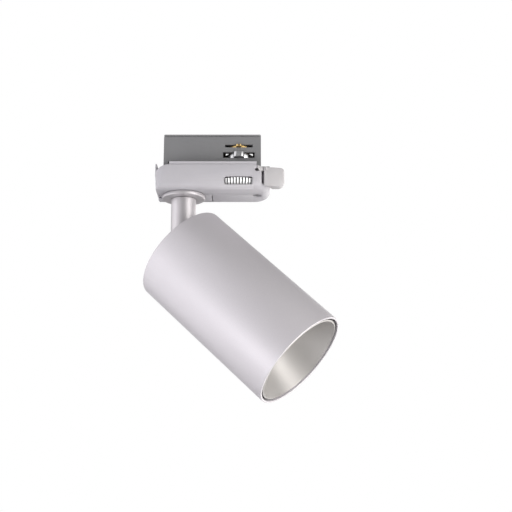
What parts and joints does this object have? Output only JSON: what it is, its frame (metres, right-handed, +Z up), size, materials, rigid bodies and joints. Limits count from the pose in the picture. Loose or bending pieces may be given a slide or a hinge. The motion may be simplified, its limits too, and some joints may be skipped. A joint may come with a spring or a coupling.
{
  "type": "track spotlight",
  "caption": "Cylindrical spotlight on a short stem that pans and tilts under a three-circuit track adapter with a lock lever and a circuit selector wheel.",
  "frame": {"origin": "on the stem's axis, at the plane where the adapter seats against the underside of the track", "axes": "+Z up into the track, +X along the track towards the lock lever, +Y away from the side with the lever's paddle"},
  "size_m": [0.1134, 0.0857, 0.1647],
  "materials": {
    "silver_paint": "fine matt silver powder coat",
    "grey_plastic": "moulded silver-grey plastic",
    "insert_plastic": "moulded mid-grey plastic",
    "white_plastic": "moulded white plastic",
    "dark_rubber": "matt black",
    "contact_brass": "bright strip",
    "zinc_steel": "zinc plated",
    "raw_aluminium": "plain extruded",
    "board_white": "white solder mask",
    "phosphor": "yellow phosphor gel",
    "reflector_satin": "satin anodised",
    "clear_glass": "clear"
  },
  "bodies": {
    "adapter": {"adapter_housing": "grey_plastic", "bottom_cover": "grey_plastic", "carrier_plate": "zinc_steel", "insert_body": "insert_plastic", "insert_cover": "insert_plastic", "neutral_contact": "contact_brass", "earth_contact_front": "zinc_steel", "earth_contact_rear": "zinc_steel", "terminal_block": "white_plastic", "carrier_screw_1": "zinc_steel", "carrier_screw_2": "zinc_steel", "carrier_screw_3": "zinc_steel", "carrier_screw_4": "zinc_steel"},
    "lever": {"lock_lever": "grey_plastic", "lock_shaft": "grey_plastic", "locking_lugs": "zinc_steel"},
    "selector": {"selector_wheel": "white_plastic", "selector_shaft": "white_plastic", "phase_contact": "contact_brass"},
    "stem": {"mounting_disc": "silver_paint", "stem_tube": "silver_paint", "stem_nipple": "zinc_steel", "friction_washer": "zinc_steel", "stop_washer": "zinc_steel", "stem_nut": "zinc_steel", "tilt_knuckle": "silver_paint", "stem_lead": "dark_rubber"},
    "head": {"head_tube": "silver_paint", "rear_plate": "silver_paint", "pivot_bracket": "zinc_steel", "pivot_bolt": "zinc_steel", "pivot_nut": "zinc_steel", "pivot_washer_front": "zinc_steel", "pivot_washer_rear": "zinc_steel", "bracket_screw_1": "zinc_steel", "bracket_screw_2": "zinc_steel", "cable_grommet": "dark_rubber", "head_lead": "dark_rubber", "driver_module": "white_plastic", "heat_sink": "raw_aluminium", "led_board": "board_white", "led_emitter": "phosphor", "led_holder": "white_plastic", "holder_screw_1": "zinc_steel", "holder_screw_2": "zinc_steel", "reflector": "reflector_satin", "emitter_glass": "clear_glass", "chassis_post_1": "zinc_steel", "chassis_post_2": "zinc_steel", "chassis_post_3": "zinc_steel"}
  },
  "joints": [
    {"name": "stem_pan", "type": "hinge", "parent": "adapter", "child": "stem", "pos_m": [0, 0, -0.0147], "axis": [0, 0, 1], "range_deg": [-170, 170]},
    {"name": "head_tilt", "type": "hinge", "parent": "stem", "child": "head", "pos_m": [0, 0, -0.0512], "axis": [-0.3535, -0.9354, 0], "range_deg": [-47.5, 26.5]},
    {"name": "lever_turn", "type": "hinge", "parent": "adapter", "child": "lever", "pos_m": [0.0336, 0, -0.002], "axis": [0, 0, 1], "range_deg": [0, 90]},
    {"name": "selector_turn", "type": "hinge", "parent": "adapter", "child": "selector", "pos_m": [0.0336, 0, -0.0098], "axis": [0, 0, 1], "range_deg": [0, 270]}
  ]
}
